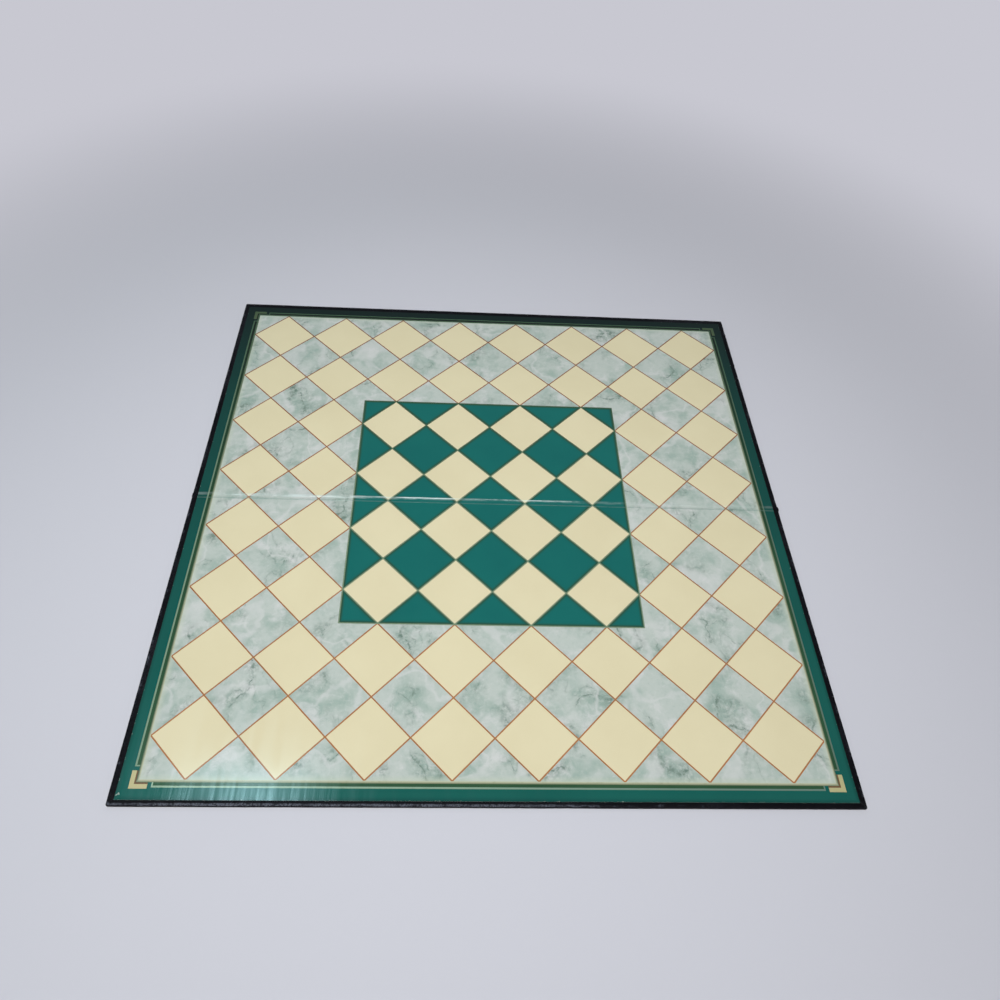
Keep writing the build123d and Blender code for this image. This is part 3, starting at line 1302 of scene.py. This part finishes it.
@dataclass
class CoverPaper:
    """The black cover paper: a wrap round each board and the strip across the fold.

    Attributes:
        layout: The board's layout.
        finish: The leatherette finish.
        thickness: Thickness of the paper.
        edge_radius: Radius of the outer edges.
        fold_edge_radius: Radius of the upper edge along the fold.
        corner_radius: Radius of the outer corners, seen from above.
        fold_corner_radius: Radius of the corners where the fold runs out.
        mitre_width: Least radius of a ring at a corner, which leaves room for the folded mitre.
        mitre_depth: Depth of the mitre's groove.
        turn_in: Width of the turn-in on the upper side.
        inner_inset: Where the flat of the underside begins, from the edge.
        under_insets: Where the underside has its other points, from the edge.
        over_insets: Where the turn-in has its points, from the edge.
        inner_bevel: Bevel of the paper's inner side under the upper edge.
        turn_points: Points along each quarter turn of the cut.
        side_points: Points along each side of a wrap.
        corner_points: Points round each corner of a wrap.
        sway: How far the edges wander from straight.
        sway_reach: How far in from the edge they do.
        shoulder_wear: Wear over the upper edge, as stops of inset in mm and wear.
        heel_wear: Wear over the lower edge, as such stops.
        near_rub_and_sheen: Wear along the player's edge, with a painted reflection strongest on the left, as
            stops of X in mm and wear.
        side_rub: Wear along the other edges.
        corner_rub: Wear at the outer corners.
        heel_rub: Wear of the lower edge against the upper one.
        fold_spared: Share of the wear that the edge along the fold is spared.
        strip_along: Points along the strip across the fold.
        strip_across: Points across that strip.
        strip_overlap: How far the strip reaches beyond the gap.
        strip_sunk: How far the strip's upper side lies below the cover's.
        end_bulge: How far the strip bulges out at the right end of the fold.
        left_share: Share of that bulge at the left end.
        end_lift: How far the strip rises beyond the sheet's ends.
        end_wear: Wear at the strip's ends.
    """

    layout: Layout
    finish: Leatherette = Leatherette()
    thickness: float = 0.2 * MM
    edge_radius: float = 0.8 * MM
    fold_edge_radius: float = 0.2 * MM
    corner_radius: float = 1.2 * MM
    fold_corner_radius: float = 0.35 * MM
    mitre_width: float = 0.5 * MM
    mitre_depth: float = 0.14 * MM
    turn_in: float = 15 * MM
    inner_inset: float = 24 * MM
    under_insets: tuple[float, ...] = (12 * MM, 5 * MM, 2 * MM)
    over_insets: tuple[float, ...] = (1.2 * MM, 1.6 * MM, 2.1 * MM, 2.6 * MM, 4 * MM, 8 * MM)
    inner_bevel: float = 0.3 * MM
    turn_points: int = 6
    side_points: int = 61
    corner_points: int = 9
    sway: float = 0.07 * MM
    sway_reach: float = 3 * MM
    shoulder_wear: Stops = ((0.1, 0.1), (0.6, 1.0), (1.7, 1.0), (2.3, 0.0))
    heel_wear: Stops = ((0.0, 0.0), (0.25, 1.0), (0.8, 0.6), (1.4, 0.0))
    # Along the player's edge: wear, with a painted reflection of the lamp strongest on the left.
    near_rub_and_sheen: Stops = (
        (-220, 0.75),
        (-180, 0.95),
        (-140, 1.1),
        (-100, 0.9),
        (20, 0.8),
        (60, 0.5),
        (100, 0.25),
        (140, 0.12),
    )
    side_rub: float = 0.34
    corner_rub: float = 0.45
    heel_rub: float = 0.6
    fold_spared: float = 0.6
    strip_along: int = 161
    strip_across: int = 25
    strip_overlap: float = 0.15 * MM
    strip_sunk: float = 0.01 * MM
    end_bulge: float = 0.5 * MM
    left_share: float = 0.06
    end_lift: float = 0.16 * MM
    end_wear: float = 0.4

    def profile(self, upper_radius: float) -> np.ndarray:
        """The cut through a wrap's edge, as a closed line of inset and height.

        It runs out along the underside, round a quarter turn, up, round the upper quarter
        turn, in to the end of the turn-in and back again one thickness further in.

        Args:
            upper_radius: Radius of the upper quarter turn.

        Returns:
            Points as an array of inset and height.
        """
        top, radius, paper = self.layout.cover_top, self.edge_radius, self.thickness
        inner_top, bevel = top - paper, self.inner_bevel
        under = np.array([self.inner_inset, *self.under_insets])
        over = np.array([*self.over_insets, self.turn_in])
        turn = np.linspace(0, math.pi / 2, self.turn_points)
        bare = np.stack([under, np.zeros_like(under)], axis=1)
        lower = np.stack([radius * (1 - np.sin(turn)), radius * (1 - np.cos(turn))], axis=1)
        upper = np.stack([upper_radius * (1 - np.cos(turn)), top - upper_radius * (1 - np.sin(turn))], axis=1)
        shelf = np.stack([over, np.full_like(over, top)], axis=1)
        back = np.array([[self.turn_in, inner_top], [paper + bevel, inner_top], [paper, inner_top - bevel]])
        floor = np.array([[paper, radius], [radius, paper], [self.inner_inset, paper]])
        return np.concatenate([bare, lower, upper, shelf, back, floor])

    def ring(self, half: Half, inset: float, fold_inset: float, corner: float) -> np.ndarray:
        """One ring of a wrap: a rectangle with rounded corners, seen from above.

        Args:
            half: The half that is wrapped.
            inset: Distance of the ring from the outer edges.
            fold_inset: Distance of the ring from the edge along the fold.
            corner: Radius of the corners.

        Returns:
            Points as an array of X and Y, anticlockwise from above.
        """
        layout = self.layout
        reach = layout.board_half - inset
        fold_edge = layout.gap_half + fold_inset
        low, high = (-reach, -fold_edge) if half is Half.FRONT else (fold_edge, reach)
        centres = np.array([[1, low, 1], [1, high, -1], [-1, high, -1], [-1, low, 1]])
        by_fold = centres[:, 2] == half.side
        radius = np.where(by_fold, min(corner, self.fold_corner_radius), corner)
        centre_x = centres[:, 0] * (reach - radius)
        centre_y = centres[:, 1] + centres[:, 2] * radius
        first = np.array([-0.5, 0.0, 0.5, 1.0]) * math.pi
        turn = first[:, None] + np.linspace(0, math.pi / 2, self.corner_points)[None, :]
        arc_x = centre_x[:, None] + radius[:, None] * np.cos(turn)
        arc_y = centre_y[:, None] + radius[:, None] * np.sin(turn)
        share = np.linspace(0, 1, self.side_points + 1)[1:-1]
        next_x, next_y = np.roll(arc_x[:, 0], -1), np.roll(arc_y[:, 0], -1)
        side_x = arc_x[:, -1:] + (next_x[:, None] - arc_x[:, -1:]) * share
        side_y = arc_y[:, -1:] + (next_y[:, None] - arc_y[:, -1:]) * share
        x = np.concatenate([arc_x, side_x], axis=1).ravel()
        y = np.concatenate([arc_y, side_y], axis=1).ravel()
        return np.stack([x, y], axis=-1)

    def round_ring(self, half: Half) -> tuple[np.ndarray, np.ndarray]:
        """How the points of a ring lie to the fold and to the outer corners.

        A ring has four blocks of points, each with a corner and the side after it. The edge
        along the fold is one block's side, so its profile comes in round that block's corner
        and goes out round the next one.

        Args:
            half: The half that is wrapped.

        Returns:
            The share of the fold's own profile at each point; and the nearness to the middle of
            an outer corner, 1 at the middle, 0 at the corner's ends and below 0 elsewhere.
        """
        block = self.corner_points + self.side_points - 1
        number = np.arange(4 * block)
        side, step = number // block, (number % block) / (self.corner_points - 1)
        fold_side = 1 if half is Half.FRONT else 3
        comes_in, goes_out = side == fold_side, side == (fold_side + 1) % 4
        turned = np.clip(step, 0, 1)
        fold_share = np.maximum(np.where(comes_in, turned, 0.0), np.where(goes_out, 1 - turned, 0.0))
        mid_corner = np.where(comes_in | goes_out, -1.0, 1 - np.abs(step - 0.5) * 2)
        return fold_share, mid_corner

    def edge_wear_and_sheen(
        self, outer: np.ndarray, rings: np.ndarray, fold_share: np.ndarray, mid_corner: np.ndarray
    ) -> np.ndarray:
        """Wear of a wrap, which lies on its rounded edges, with a painted reflection along the near edge.

        It is the larger of the shoulder's and the heel's wear over the cut, times the larger
        of the wear along that edge and the wear at the corner, less what the fold spares.

        Args:
            outer: Profile of the outer edges.
            rings: X and Y of every point.
            fold_share: Share of the fold's own profile at each point of a ring.
            mid_corner: Nearness to the middle of an outer corner.

        Returns:
            The wear at every point.
        """
        inset, height = outer.T
        on_shoulder = height > self.layout.cover_top - self.edge_radius
        shoulder = through_stops(self.shoulder_wear, inset) * on_shoulder
        heel = through_stops(self.heel_wear, inset) * (height < self.edge_radius)
        rounded = np.maximum(shoulder, self.heel_rub * heel)[:, None]
        # Along the player's edge the wear is partly a painted reflection, strongest on the left.
        towards_player = rings[..., 1] < -self.layout.board_half + 2 * MM
        along_edge = np.where(towards_player, through_stops(self.near_rub_and_sheen, rings[..., 0]), self.side_rub)
        most = np.maximum(along_edge, np.clip(mid_corner + 0.4, 0, 1) * self.corner_rub)
        return rounded * most * (1 - self.fold_spared * fold_share)

    def build_wrap(self, half: Half) -> bpy.types.Object:
        """Build the cover round one board.

        The wrap is the profile carried round a rounded rectangle, with a lower upper edge
        along the fold, a folded mitre at each outer corner and edges that sway a little.

        Args:
            half: The half to wrap.

        Returns:
            The wrap.
        """
        outer, along_fold = self.profile(self.edge_radius), self.profile(self.fold_edge_radius)
        fold_share, mid_corner = self.round_ring(half)
        corner = np.clip(self.corner_radius - outer[:, 0], self.mitre_width, None)
        cuts = zip(outer[:, 0], along_fold[:, 0], corner)
        rings = np.stack([self.ring(half, inset, fold_inset, radius) for inset, fold_inset, radius in cuts])

        height = outer[:, 1][:, None] * (1 - fold_share) + along_fold[:, 1][:, None] * fold_share
        is_top = (outer[:, 1] >= self.layout.cover_top - 1e-7)[:, None]
        height = height - is_top * np.clip(mid_corner, 0, 1) ** 2 * self.mitre_depth

        x, y = rings[..., 0], rings[..., 1]
        sway = self.sway * (np.sin(x * 53 + y * 31) + 0.5 * np.sin(x * 131 + 2))
        near_edge = np.clip(1 - outer[:, 0] / self.sway_reach, 0, 1)[:, None] * (1 - fold_share)
        away = rings - np.array([0.0, half.side * self.layout.board_half / 2])
        outward = away / np.linalg.norm(away, axis=-1, keepdims=True)
        rings = rings - outward * (np.abs(sway) * near_edge)[..., None]

        points = np.concatenate([rings, height[..., None]], axis=-1)
        wrap = closed_skin(f"{half.prefix}_cover_wrap", points, 50)
        add_number(wrap, self.finish.wear_sheen_name, self.edge_wear_and_sheen(outer, rings, fold_share, mid_corner).ravel())
        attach(wrap, half.body)
        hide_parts(f"{half.prefix}_cover_paper")
        LOG.info("%s: %d points", wrap.name, points.shape[0] * points.shape[1])
        return wrap

    def build_fold(self) -> bpy.types.Object:
        """Build the cover across the fold, pressed up under the sheet.

        Its two ends bulge out and rise by a parabola across the fold. The rise comes in by a
        quarter sine wave beyond the sheet's ends, where the strip shows.

        Returns:
            The strip.
        """
        layout = self.layout
        x = np.linspace(-1, 1, self.strip_along)
        y = np.linspace(-1, 1, self.strip_across) * (layout.gap_half + self.strip_overlap)
        station, side = np.meshgrid(x, y, indexing="ij")
        hump = np.clip(1 - (side / layout.gap_half) ** 2, 0, 1)
        bulge = self.end_bulge * hump * np.where(station > 0, 1.0, self.left_share)
        shown = layout.sheet_half / layout.board_half
        at_end = np.clip((np.abs(station) - shown) / (1 - shown), 0, 1)
        reach = layout.board_half + bulge * (np.abs(station) >= 1)
        lift = self.end_lift * hump * np.sin(at_end * math.pi / 2)
        upper = np.stack([station * reach, side, layout.cover_top - self.strip_sunk + lift], axis=-1)
        lower = np.stack([station * reach, side, layout.turn_in_bottom + lift], axis=-1)
        ring = np.concatenate([upper, lower[:, ::-1]], axis=1)
        strip = closed_skin("cover_fold_strip", ring, 40)
        wear = np.concatenate([at_end, at_end], axis=1) * self.end_wear
        add_number(strip, self.finish.wear_sheen_name, wear.ravel())
        bend_over_fold(strip)
        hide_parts(*[f"{half.prefix}_cover_fold" for half in Half])
        LOG.info("cover_fold_strip: %d points", ring.shape[0] * ring.shape[1])
        return strip

    def build(self) -> None:
        """Build and dress the whole cover."""
        material = self.finish.material()
        pieces = [self.build_wrap(half) for half in Half] + [self.build_fold()]
        for piece in pieces:
            dress(piece, material)


@dataclass
class Boards:
    """The grey boards inside the cover, and the bare paper under the print.

    Attributes:
        grey_board: Finish of the boards.
        white_paper: Finish of the sheet's paper.
    """

    grey_board: RawPaper = GREY_BOARD
    white_paper: RawPaper = WHITE_PAPER

    def dress(self) -> None:
        """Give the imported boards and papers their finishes."""
        dress_both("core_board", self.grey_board.material())
        dress_both("sheet_paper", self.white_paper.material())


@dataclass(frozen=True)
class Lamp:
    """One rectangular soft light.

    Attributes:
        name: Name of the light.
        place: Where it stands.
        aim: Point at which it looks.
        size: Its width and depth.
        power: Its power in watts.
        spread: How wide its beam opens, in degrees.
        colour: Its colour.
    """

    name: str
    place: Numbers
    aim: Numbers
    size: Numbers
    power: float
    spread: float = 180.0
    colour: Colour = (1.0, 1.0, 1.0)

    def build(self) -> None:
        """Add the light to the scene, turned so that it looks at its aim."""
        light = bpy.data.lights.new(self.name, "AREA")
        light.shape = "RECTANGLE"
        light.size, light.size_y = self.size
        light.energy = self.power
        light.spread = math.radians(self.spread)
        light.color = self.colour
        lamp = bpy.data.objects.new(self.name, light)
        bpy.context.scene.collection.objects.link(lamp)
        lamp.location = self.place
        direction = np.array(self.aim, float) - np.array(self.place, float)
        flat = math.hypot(direction[0], direction[1])
        lamp.rotation_euler = (math.atan2(flat, -direction[2]), 0, math.atan2(-direction[0], direction[1]))


FRONT_LIGHT = Lamp("front_light", (-0.35, -0.8, 1.6), (-0.02, -0.09, 0), (1.2, 1.2), 4.5, spread=50)
OVERHEAD_LIGHT = Lamp(
    "overhead_light", (-0.42, 0.075, 1.1), (-0.42, 0.076, 0), (0.24, 0.07), 0.95, colour=(0.55, 0.88, 0.97)
)


@dataclass
class Studio:
    """A pale floor, soft lights and the camera at the photograph's place.

    Attributes:
        layout: The board's layout.
        camera_from_print: Camera's place from the middle of the print.
        camera_turn: Camera's turn about X, Y and Z, in degrees.
        lens: Focal length in millimetres on a 36 mm sensor.
        shift: Sideways shift of the picture.
        lamps: A wide soft light from the front, and a small one high above the near left.
        floor_colour: Colour of the floor.
        floor_tint: How dark the floor's clouds are against it.
        floor_cloud: Size of those clouds.
        floor_roughness: Roughness of the floor.
        floor_half: Half the side of the floor.
        floor_drop: How far the floor lies below the board.
        floor_fade: Distances from the board at which the floor begins and ends to fade out.
        backdrop: Colour of the far floor and of the room behind it.
        room_colour: Colour of the room's own dim light.
        room_strength: Strength of that light.
        room_low: Heights of a line of sight between which the room turns from dim to pale.
    """

    layout: Layout
    camera_from_print: tuple[float, float, float] = (-33.27 * MM, -361.0 * MM, 478.02 * MM)
    camera_turn: tuple[float, float, float] = (37.252, -3.172, -0.647)
    lens: float = 27.36
    shift: float = 0.0125
    lamps: tuple[Lamp, ...] = (FRONT_LIGHT, OVERHEAD_LIGHT)
    floor_colour: Colour = screen_colour(206, 206, 214)
    floor_tint: float = 0.96
    floor_cloud: float = 1 / 1.2
    floor_roughness: float = 0.8
    floor_half: float = 12.0
    floor_drop: float = 0.05 * MM
    floor_fade: tuple[float, float] = (0.37, 0.80)
    backdrop: Colour = screen_colour(200, 200, 209)
    room_colour: Colour = (0.94, 0.96, 1.0)
    room_strength: float = 0.2
    room_low: tuple[float, float] = (0.40, 0.12)

    def build(self) -> None:
        """Make the floor, the lights, the room and the camera."""
        self.build_floor()
        for lamp in self.lamps:
            lamp.build()
        self.build_world()
        self.build_camera()

    def build_floor(self) -> None:
        """Make the floor: a wide flat sheet just under the board, which fades into the backdrop far out."""
        corners = np.array([[-1, -1, 0], [1, -1, 0], [1, 1, 0], [-1, 1, 0]]) * self.floor_half
        floor = new_object("floor", corners - [0, 0, self.floor_drop], np.array([[0, 1, 2, 3]]), ())
        graph = MaterialGraph("floor_paper")
        place = graph.solid_place()
        tint = tuple(value * self.floor_tint for value in self.floor_colour)
        colour = graph.mix(graph.noise(place, self.floor_cloud), self.floor_colour, tint)
        graph.paint(colour, self.floor_roughness)
        length = graph.node("ShaderNodeVectorMath")
        length.operation = "LENGTH"
        graph.feed(length.inputs[0], place)
        shown = graph.times(graph.rise(length.outputs["Value"], *self.floor_fade), graph.seen())
        glow = graph.node("ShaderNodeEmission", Color=self.backdrop)
        surface = graph.output.inputs["Surface"]
        graph.blend(shown, graph.shader.outputs["BSDF"], glow.outputs["Emission"], surface)
        dress(floor, graph.material)

    def build_world(self) -> None:
        """Make the room: dim and even for the light, pale low down where it is seen or mirrored."""
        world = bpy.data.worlds.new("soft_room")
        world.use_nodes = True
        graph = NodeGraph(world.node_tree)
        dim, output = (world.node_tree.nodes[name] for name in ("Background", "World Output"))
        graph.feed(dim.inputs["Color"], self.room_colour)
        graph.feed(dim.inputs["Strength"], self.room_strength)
        pale = graph.node("ShaderNodeBackground", Color=self.backdrop)
        _, _, height = graph.parts(graph.node("ShaderNodeTexCoord").outputs["Generated"])
        shown = graph.seen(graph.rise(height, *self.room_low))
        graph.blend(shown, dim.outputs["Background"], pale.outputs["Background"], output.inputs["Surface"])
        bpy.context.scene.world = world

    def build_camera(self) -> None:
        """Make the camera from which the photograph was taken."""
        data = bpy.data.cameras.new("camera")
        data.lens = self.lens
        data.sensor_width = 36
        data.shift_x = self.shift
        camera = bpy.data.objects.new("camera", data)
        bpy.context.scene.collection.objects.link(camera)
        middle = np.array([0.0, self.layout.print_y, self.layout.sheet_top])
        camera.location = middle + np.array(self.camera_from_print)
        camera.rotation_euler = [math.radians(value) for value in self.camera_turn]
        bpy.context.scene.camera = camera


def new_object(
    name: str, points: np.ndarray, quads: np.ndarray, caps: Sequence[np.ndarray]
) -> bpy.types.Object:
    """Make a mesh object at the origin from whole arrays.

    Args:
        name: Name of the object.
        points: Points as an array of count by 3.
        quads: Four-sided faces as an array of count by 4.
        caps: Faces of any number of corners, each an array of point numbers.

    Returns:
        The object.
    """
    mesh = bpy.data.meshes.new(name)
    corners = np.concatenate([quads.ravel(), *caps]).astype(np.int32)
    sizes = np.concatenate([np.full(len(quads), 4), np.array([len(cap) for cap in caps], int)])
    starts = np.concatenate([[0], np.cumsum(sizes)[:-1]]).astype(np.int32)
    mesh.vertices.add(len(points))
    mesh.vertices.foreach_set("co", points.astype(np.float32).ravel())
    mesh.loops.add(len(corners))
    mesh.loops.foreach_set("vertex_index", corners)
    mesh.polygons.add(len(starts))
    mesh.polygons.foreach_set("loop_start", starts)
    mesh.update(calc_edges=True)
    mesh.validate()
    made = bpy.data.objects.new(name, mesh)
    bpy.context.scene.collection.objects.link(made)
    return made


def grid_quads(rows: int, columns: int) -> np.ndarray:
    """Quads between neighbouring rows of points, where each row closes on itself.

    Args:
        rows: Number of rows.
        columns: Points in a row.

    Returns:
        Quads as an array of count by 4.
    """
    row, column = np.meshgrid(np.arange(rows - 1), np.arange(columns), indexing="ij")
    this, after = row * columns + column, row * columns + (column + 1) % columns
    return np.stack([this, after, after + columns, this + columns], axis=-1).reshape(-1, 4)


def closed_skin(name: str, rings: np.ndarray, sharp_from: float) -> bpy.types.Object:
    """A closed surface: rings of points joined one to the next, with the first and the last one filled.

    Args:
        name: Name of the object.
        rings: Points as an array of rings by ring points by 3.
        sharp_from: Angle in degrees from which an edge stays sharp.

    Returns:
        The object.
    """
    stations, count = rings.shape[:2]
    first = np.arange(count)
    last = (stations - 1) * count + first
    skin = new_object(name, rings.reshape(-1, 3), grid_quads(stations, count), (first[::-1], last))
    face_outward(skin)
    shade_soft(skin, sharp_from)
    return skin


def through_stops(stops: Stops, places: np.ndarray) -> np.ndarray:
    """Values on the straight lines from stop to stop, each stop a place in mm and its value."""
    at, values = zip(*stops)
    return np.interp(places / MM, at, values)


def face_outward(piece: bpy.types.Object) -> None:
    """Turn the mesh the right way out where its volume comes out negative.

    The volume is the sum over all triangles of a . (b x c) / 6.

    Args:
        piece: The object.
    """
    mesh = piece.data
    mesh.calc_loop_triangles()
    triangles = np.zeros(len(mesh.loop_triangles) * 3, np.int32)
    mesh.loop_triangles.foreach_get("vertices", triangles)
    points = np.zeros(len(mesh.vertices) * 3, np.float32)
    mesh.vertices.foreach_get("co", points)
    corner = points.reshape(-1, 3)[triangles.reshape(-1, 3)].astype(float)
    volume = np.einsum("ij,ij->i", corner[:, 0], np.cross(corner[:, 1], corner[:, 2])).sum() / 6
    if volume < 0:
        mesh.flip_normals()


def shade_soft(piece: bpy.types.Object, angle: float) -> None:
    """Shade the mesh smooth, except along edges sharper than the angle in degrees."""
    piece.data.polygons.foreach_set("use_smooth", np.ones(len(piece.data.polygons), bool))
    piece.data.set_sharp_from_angle(angle=math.radians(angle))


def add_map(piece: bpy.types.Object, name: str, places: np.ndarray) -> None:
    """Keep a flat place for each point of the mesh as a UV map.

    Args:
        piece: The object.
        name: Name of the map.
        places: Places as an array of points by 2.
    """
    mesh = piece.data
    numbers = np.zeros(len(mesh.loops), np.int32)
    mesh.loops.foreach_get("vertex_index", numbers)
    layer = mesh.uv_layers.new(name=name)
    layer.data.foreach_set("uv", places[numbers].astype(np.float32).ravel())


def add_number(piece: bpy.types.Object, name: str, values: np.ndarray) -> None:
    """Keep a number for each point of the mesh under that name."""
    attribute = piece.data.attributes.new(name, "FLOAT", "POINT")
    attribute.data.foreach_set("value", values.astype(np.float32))


def dress(piece: bpy.types.Object, material: bpy.types.Material) -> None:
    """Put one material on the whole piece.

    Args:
        piece: The object.
        material: The material.
    """
    if not piece.material_slots:
        piece.data.materials.append(material)
    for slot in piece.material_slots:
        slot.material = material


def dress_both(node_name: str, material: bpy.types.Material) -> None:
    """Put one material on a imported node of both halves.

    Args:
        node_name: Name of the node, without that of the half.
        material: The material.
    """
    for half in Half:
        dress(half.node(node_name), material)
        LOG.info("%s_%s: %s", half.prefix, node_name, material.name)


def bend_over_fold(piece: bpy.types.Object) -> None:
    """Bake the piece's placement into its mesh.

    Args:
        piece: The piece.
    """
    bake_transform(piece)


def main() -> None:
    """Dress the board and set it in its studio."""
    logging.basicConfig(level=logging.INFO, format="%(name)s: %(message)s")
    bpy.context.scene.view_settings.view_transform = "Standard"
    layout = Layout.from_frame()
    LOG.info("board half side %.1f mm, sheet %.1f mm", layout.board_half / MM, layout.sheet_half / MM)
    sheet = PrintedSheet(layout)
    sheet.dress_areas()
    sheet.build_fold()
    CoverPaper(layout).build()
    Boards().dress()
    Studio(layout).build()


if __name__ == "__main__":
    main()
